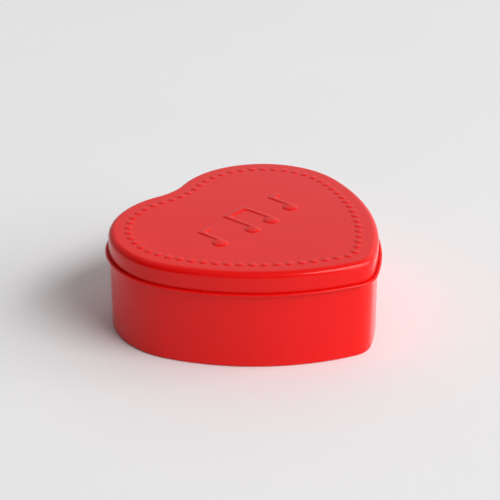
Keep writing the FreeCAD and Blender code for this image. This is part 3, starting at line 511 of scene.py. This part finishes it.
class MUSICBOX_OT_lid(Operator):
    """Model the pressed lid: rounded edge, skirt, outward roll, beads and raised notes"""
    bl_idname = "musicbox.lid"
    bl_label = "Pressed lid"

    def execute(self, context):
        s = sizes()
        outer = s.lid_gap + s.sheet
        inner = s.lid_gap
        ceiling = s.lid_top - s.sheet
        edge, edge_in = s.lid_edge, s.lid_edge - s.sheet
        curl, flatter = s.curl_radius, s.curl_rise / s.curl_radius
        roll = arc_points((outer + s.curl_gap + curl, 0), curl, 200, -120, 20)
        # Distance of the edges beside the rounds, which keep their shading off the flats
        beside_outer, beside_inner = 0.6 * MM, 1 * MM
        # Outside, from the flat over the edge, down the skirt and round the roll
        profile = [(outer - edge - beside_outer, s.lid_top)]
        profile += arc_points((outer - edge, s.lid_top - edge), edge, 90, 0, 9)
        profile += [(outer, s.curl_height + 3 * curl), (outer, s.curl_height - 0.4 * curl)]
        profile += [(x, s.curl_height + z * flatter) for x, z in roll]
        # Inside, back up to the ceiling
        profile += [(inner, s.curl_height - 0.7 * curl), (inner, s.lid_top - edge - beside_inner)]
        profile += arc_points((inner - edge_in, ceiling - edge_in), edge_in, 0, 90, 7)
        profile += [(inner - edge - beside_inner, ceiling)]
        piece = begin("pressed_lid")
        spin_profile_round_heart(s, profile)
        press_beads(s)
        for outline, corners in note_outlines(s):
            press_note(piece, s, outline, corners)
        select_open_edges(piece, s.lid_top)
        bpy.ops.mesh.fill(use_beauty=True)
        select_open_edges(piece, ceiling)
        bpy.ops.mesh.edge_face_add()
        finish_piece(piece, "lid", red_stove_lacquer(), "lid")
        return {"FINISHED"}


def press_beads(s):
    """One bead: a ring drawn in and up to a round crown; then a copy at each place of the row.
    Each ring is a share of the bead's radius and of its height."""
    rings = ((0.93, 0.0), (0.84, 0.12), (0.73, 0.50), (0.61, 0.85), (0.42, 0.97), (0.16, 1.0))
    places = places_round_heart(s, -s.bead_inset, s.bead_count)
    centre = places[0] + Vector((0, 0, s.lid_top))
    bpy.ops.mesh.select_all(action="DESELECT")
    bpy.ops.mesh.primitive_circle_add(vertices=18, radius=s.bead_radius, location=centre)
    size, height = 1.0, 0.0
    for next_size, next_height in rings:
        step = (0, 0, (next_height - height) * s.bead_height)
        bpy.ops.mesh.extrude_region_move(TRANSFORM_OT_translate={"value": step})
        share = next_size / size
        bpy.ops.transform.resize(value=(share, share, 1), center_override=centre)
        size, height = next_size, next_height
    bpy.ops.mesh.edge_face_add()
    bpy.ops.mesh.select_linked()
    for here, there in zip(places, places[1:]):
        bpy.ops.mesh.duplicate_move(TRANSFORM_OT_translate={"value": there - here})


def note_outlines(s):
    """Outlines of the notes, a beamed pair between two single ones, each with its square corners."""
    head, stroke, beam = s.note_head, s.note_stroke, s.note_beam
    rise = math.sqrt(head ** 2 - (head - stroke) ** 2)
    first = math.degrees(math.atan2(rise, head - stroke))

    def round_head(x, y):
        return arc_points((x, y), head, first, 360, 22)

    y = s.note_centre - s.pair_stem / 2
    top = y + s.pair_stem
    left = -s.pair_gap / 2 - head + stroke / 2
    right = left + s.pair_gap
    inside = [(left + head, top - beam), (right + head - stroke, top - beam)]
    outside = [(right + head, top), (left + head - stroke, top)]
    outlines = [(inside + round_head(right, y) + outside + round_head(left, y), inside + outside)]
    for side in (-1, 1):
        x = side * s.single_aside - head
        y = s.note_centre - s.single_stem / 2
        top = y + s.single_stem
        tail = x + head - stroke + s.single_flag
        corners = [(x + head, top - beam), (tail, top - beam), (tail, top), (x + head - stroke, top)]
        outlines.append((corners + round_head(x, y), corners))
    return outlines


def press_note(piece, s, outline, corners):
    """Draws one note's outline, rounds its corners and raises it in soft steps.
    Each step is an inset in millimetres and a share of the relief."""
    bpy.ops.mesh.select_mode(type="VERT")
    bpy.ops.mesh.select_all(action="DESELECT")
    bpy.ops.mesh.primitive_plane_add(size=MM)
    bpy.ops.mesh.merge(type="CENTER")
    draw([Vector((x, y, s.lid_top)) for x, y in outline])
    bpy.ops.mesh.select_linked()
    bpy.ops.mesh.edge_face_add()
    mesh = bmesh.from_edit_mesh(piece.data)
    if any(face.select and face.normal.z < 0 for face in mesh.faces):
        bpy.ops.mesh.flip_normals()
    bpy.ops.mesh.select_all(action="DESELECT")
    for vertex in mesh.verts:
        flat = abs(vertex.co.z - s.lid_top) < NEAR
        vertex.select_set(flat and any(math.dist(vertex.co.xy, c) < NEAR for c in corners))
    bmesh.update_edit_mesh(piece.data)
    bpy.ops.mesh.bevel(offset=s.note_corner, segments=6, affect="VERTICES")
    bpy.ops.mesh.select_linked()
    bpy.ops.mesh.select_mode(type="FACE")
    steps = ((0.12, 0.0), (0.22, 0.09), (0.24, 0.29), (0.24, 0.33), (0.22, 0.20), (0.16, 0.09))
    for thick, share in steps:
        bpy.ops.mesh.inset(thickness=thick * MM, depth=share * s.note_relief, use_even_offset=True)


class MUSICBOX_OT_lining(Operator):
    """Model the felt sheet in the trinket well"""
    bl_idname = "musicbox.lining"
    bl_label = "Felt lining"

    def execute(self, context):
        s = sizes()
        node = frame["nodes"]["well_lining"]
        bpy.ops.object.select_all(action="DESELECT")
        node.select_set(True)
        context.view_layer.objects.active = node
        bpy.ops.object.duplicate()
        piece = context.object
        for key in list(piece.keys()):
            del piece[key]
        piece.parent = None
        piece.name = piece.data.name = "felt_lining"
        piece.data.materials.clear()
        bpy.ops.object.mode_set(mode="EDIT")
        bpy.ops.mesh.select_all(action="SELECT")
        bpy.ops.mesh.remove_doubles(threshold=0.005 * MM)
        bpy.ops.object.mode_set(mode="OBJECT")
        grid = piece.modifiers.new("felt grid", "REMESH")
        grid.mode = "VOXEL"
        grid.voxel_size = s.felt_grid
        bpy.ops.object.modifier_apply(modifier=grid.name)
        smooth = piece.modifiers.new("soft edge", "SMOOTH")
        smooth.iterations = 3
        bpy.ops.object.modifier_apply(modifier=smooth.name)
        tufts = bpy.data.textures.new("tufts", "CLOUDS")
        tufts.noise_scale = s.felt_tuft
        nap = piece.modifiers.new("nap", "DISPLACE")
        nap.texture = tufts
        nap.texture_coords = "LOCAL"
        nap.strength = s.felt_nap
        bpy.ops.object.modifier_apply(modifier=nap.name)
        bpy.ops.object.mode_set(mode="EDIT")
        finish_piece(piece, "case", wool_felt(), "well_lining", sharp=60)
        return {"FINISHED"}


class MUSICBOX_OT_tray(Operator):
    """Finish the inner tray and the clear cover over the movement"""
    bl_idname = "musicbox.tray"
    bl_label = "Tray and cover"

    def execute(self, context):
        dress(["inner_tray"], ivory_moulding())
        dress(["clear_cover"], clear_acrylic())
        return {"FINISHED"}


class MUSICBOX_OT_frame(Operator):
    """Finish the bedplate, brackets, screws and comb"""
    bl_idname = "musicbox.frame"
    bl_label = "Movement frame"

    def execute(self, context):
        dress(["bedplate"], gold_lacquered_casting())
        dress(["cylinder_bracket", "barrel_bridge", "governor_frame", "plunger_post"], plated_steel())
        dress(["comb"], ground_steel())
        screws = [name for name in frame["nodes"] if name.endswith(("screws", "screw"))]
        dress(screws, zinc_screw_steel())
        return {"FINISHED"}


class MUSICBOX_OT_wheels(Operator):
    """Finish the barrel, cylinder, wheels, arbors and fly"""
    bl_idname = "musicbox.wheels"
    bl_label = "Wheels and arbors"

    def execute(self, context):
        brass = ["barrel_cup", "barrel_crown_gear", "cylinder_drum", "cylinder_end_caps",
                 "cylinder_wheel", "worm_wheel", "fly_hub"]
        brass += [name for name in frame["nodes"] if name.endswith("bushes")]
        dress(brass, turned_brass())
        dress(["winding_arbor", "cylinder_shaft", "cylinder_pinion", "second_arbor", "second_pinion",
               "worm_shaft"], turned_steel())
        dress(["fly_blades"], black_moulding())
        dress(["winding_key"], polished_brass())
        return {"FINISHED"}


class MUSICBOX_OT_stop(Operator):
    """Finish the springs and the stop that the lid presses"""
    bl_idname = "musicbox.stop"
    bl_label = "Springs and stop"

    def execute(self, context):
        dress(["mainspring", "click_spring", "stop_spring"], blued_steel())
        dress(["stop_plunger"], turned_steel())
        dress(["brake_pad"], grey_rubber())
        return {"FINISHED"}


# Stage, in metres and watts

PAPER_SIZE = 8

# The camera stands where the photograph's did: angles round and above the object, distance, aim and lens
VIEW_AROUND = math.radians(-50.185)
VIEW_ABOVE = math.radians(26.671)
VIEW_DISTANCE = 0.69643
VIEW_AIM = Vector((0, 0, 0.022))
VIEW_LENS_MM = 116.76
VIEW_SHIFT = (-0.0259, 0.0330)

LAMP_AIM = Vector((0, 0, 0.02))

# Pale walls of the room as soft patches of sky: direction, cosine where the patch begins, strength
BRIGHT_WALLS = (
    ((0.686, 0.572, 0.449), 0.75, 0.16),
    ((0.95, 0.0, 0.3), 0.6, 0.7),
    ((0.1, 0.95, 0.3), 0.6, 0.36),
    ((-0.55, -0.78, 0.3), 0.6, 0.19),
)
WALL_FULL = 0.98


def link_object(name, data, place, back):
    """A lamp or camera at a place, looking against the direction called back."""
    holder = bpy.data.objects.new(name, data)
    bpy.context.scene.collection.objects.link(holder)
    holder.location = place
    holder.rotation_euler = back.to_track_quat("Z", "Y").to_euler()
    return holder


def soft_box(name, place, size, power):
    """A large soft lamp that faces the object."""
    lamp = bpy.data.lights.new(name, "AREA")
    lamp.shape = "RECTANGLE"
    lamp.size, lamp.size_y = size
    lamp.energy = power
    link_object(name, lamp, place, Vector(place) - LAMP_AIM)


def lay_paper():
    """The floor, wide enough to fill the view."""
    bpy.ops.object.select_all(action="DESELECT")
    bpy.ops.mesh.primitive_plane_add(size=PAPER_SIZE)
    floor = bpy.context.object
    floor.name = floor.data.name = "paper_sweep"
    floor.data.materials.append(seamless_paper())


def light_walls(scene):
    """A sky that is dark except for the bright walls, whose patches are added up."""
    world = bpy.data.worlds.new("Soft daylight")
    scene.world = world
    world.use_nodes = True
    tree = world.node_tree
    sky = tree.nodes["Background"]
    sky.inputs["Color"].default_value = (1, 1, 1, 1)
    aim = add(tree, "ShaderNodeTexCoord").outputs["Generated"]
    level = None
    for toward, begins, strength in BRIGHT_WALLS:
        facing = add(tree, "ShaderNodeVectorMath", {0: aim, 1: toward}, operation="DOT_PRODUCT")
        patch = add(tree, "ShaderNodeMapRange", {"Value": facing.outputs["Value"], "From Min": begins,
                                                 "From Max": WALL_FULL, "To Max": strength})
        if level:
            patch = add(tree, "ShaderNodeMath", {0: level, 1: patch.outputs["Result"]}, operation="ADD")
        level = patch.outputs[0]
    tree.links.new(level, sky.inputs["Strength"])


def place_camera(scene):
    """The photograph's viewpoint and lens."""
    camera = bpy.data.cameras.new("Photo view")
    camera.lens = VIEW_LENS_MM
    camera.shift_x, camera.shift_y = VIEW_SHIFT
    out = math.cos(VIEW_ABOVE)
    back = Vector((math.sin(VIEW_AROUND) * out, -math.cos(VIEW_AROUND) * out, math.sin(VIEW_ABOVE)))
    scene.camera = link_object("Photo view", camera, VIEW_AIM + back * VIEW_DISTANCE, back)


class MUSICBOX_OT_stage(Operator):
    """Lay the pale sweep, set the soft lights and place the camera"""
    bl_idname = "musicbox.stage"
    bl_label = "Stage"

    def execute(self, context):
        lay_paper()
        light_walls(context.scene)
        soft_box("window", place=(0.49, -5.64, 5.66), size=(5.5, 2.5), power=304)
        soft_box("reflector", place=(3.04, -6.52, 3.51), size=(9.5, 5.5), power=510)
        soft_box("ceiling", place=(0, 0, 6), size=(10, 10), power=75)
        place_camera(context.scene)
        context.scene.view_settings.view_transform = "Standard"
        return {"FINISHED"}


class MUSICBOX_PT_panel(Panel):
    """Lists the music box's steps"""
    bl_label = "Music box"
    bl_idname = "MUSICBOX_PT_panel"
    bl_space_type = "VIEW_3D"
    bl_region_type = "UI"
    bl_category = "Music Box"

    def draw(self, context):
        for group in (context.scene.music_box_sizes, context.scene.music_box_colours):
            for name in group.__annotations__:
                self.layout.prop(group, name)
        for step in STEPS:
            self.layout.operator(step.bl_idname)


STEPS = (MUSICBOX_OT_body, MUSICBOX_OT_lid, MUSICBOX_OT_lining, MUSICBOX_OT_tray, MUSICBOX_OT_frame,
         MUSICBOX_OT_wheels, MUSICBOX_OT_stop, MUSICBOX_OT_stage)
CLASSES = (MusicBoxSizes, MusicBoxColours) + STEPS + (MUSICBOX_PT_panel,)


def register():
    for each in CLASSES:
        bpy.utils.register_class(each)
    bpy.types.Scene.music_box_sizes = PointerProperty(type=MusicBoxSizes)
    bpy.types.Scene.music_box_colours = PointerProperty(type=MusicBoxColours)


def unregister():
    del bpy.types.Scene.music_box_colours
    del bpy.types.Scene.music_box_sizes
    for each in reversed(CLASSES):
        bpy.utils.unregister_class(each)


def main():
    register()
    bpy.ops.musicbox.body()
    bpy.ops.musicbox.lid()
    bpy.ops.musicbox.lining()
    bpy.ops.musicbox.tray()
    bpy.ops.musicbox.frame()
    bpy.ops.musicbox.wheels()
    bpy.ops.musicbox.stop()
    bpy.ops.musicbox.stage()


if __name__ == "__main__":
    main()
